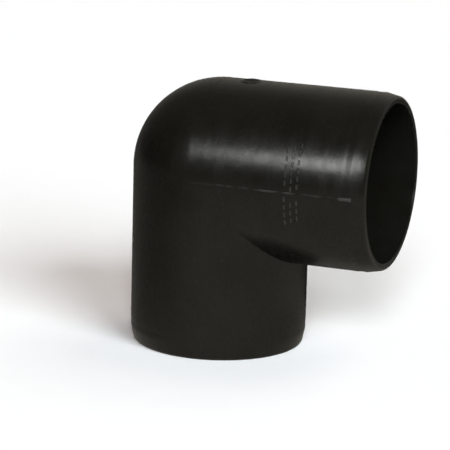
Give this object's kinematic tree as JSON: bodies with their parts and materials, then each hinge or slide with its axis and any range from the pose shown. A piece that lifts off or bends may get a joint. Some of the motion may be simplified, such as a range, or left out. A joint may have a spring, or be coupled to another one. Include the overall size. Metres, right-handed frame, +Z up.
{
  "type": "sewer hose elbow",
  "caption": "90 degree plastic elbow with two equal tapered-lip spigots, each of which a 3 inch sewer hose is pushed over and clamped.",
  "frame": {"origin": "centre of the lower mouth, in the plane of its rim, on the upright leg's axis", "axes": "+Z up the upright leg's axis, +X out along the side leg's axis, which crosses the upright's 76.7 mm above the origin; -Y faces the viewer of the picture"},
  "size_m": [0.1149, 0.0764, 0.1153],
  "materials": {
    "black_plastic": "satin black, as moulded"
  },
  "bodies": {
    "root": {"elbow": "black_plastic"}
  },
  "joints": []
}
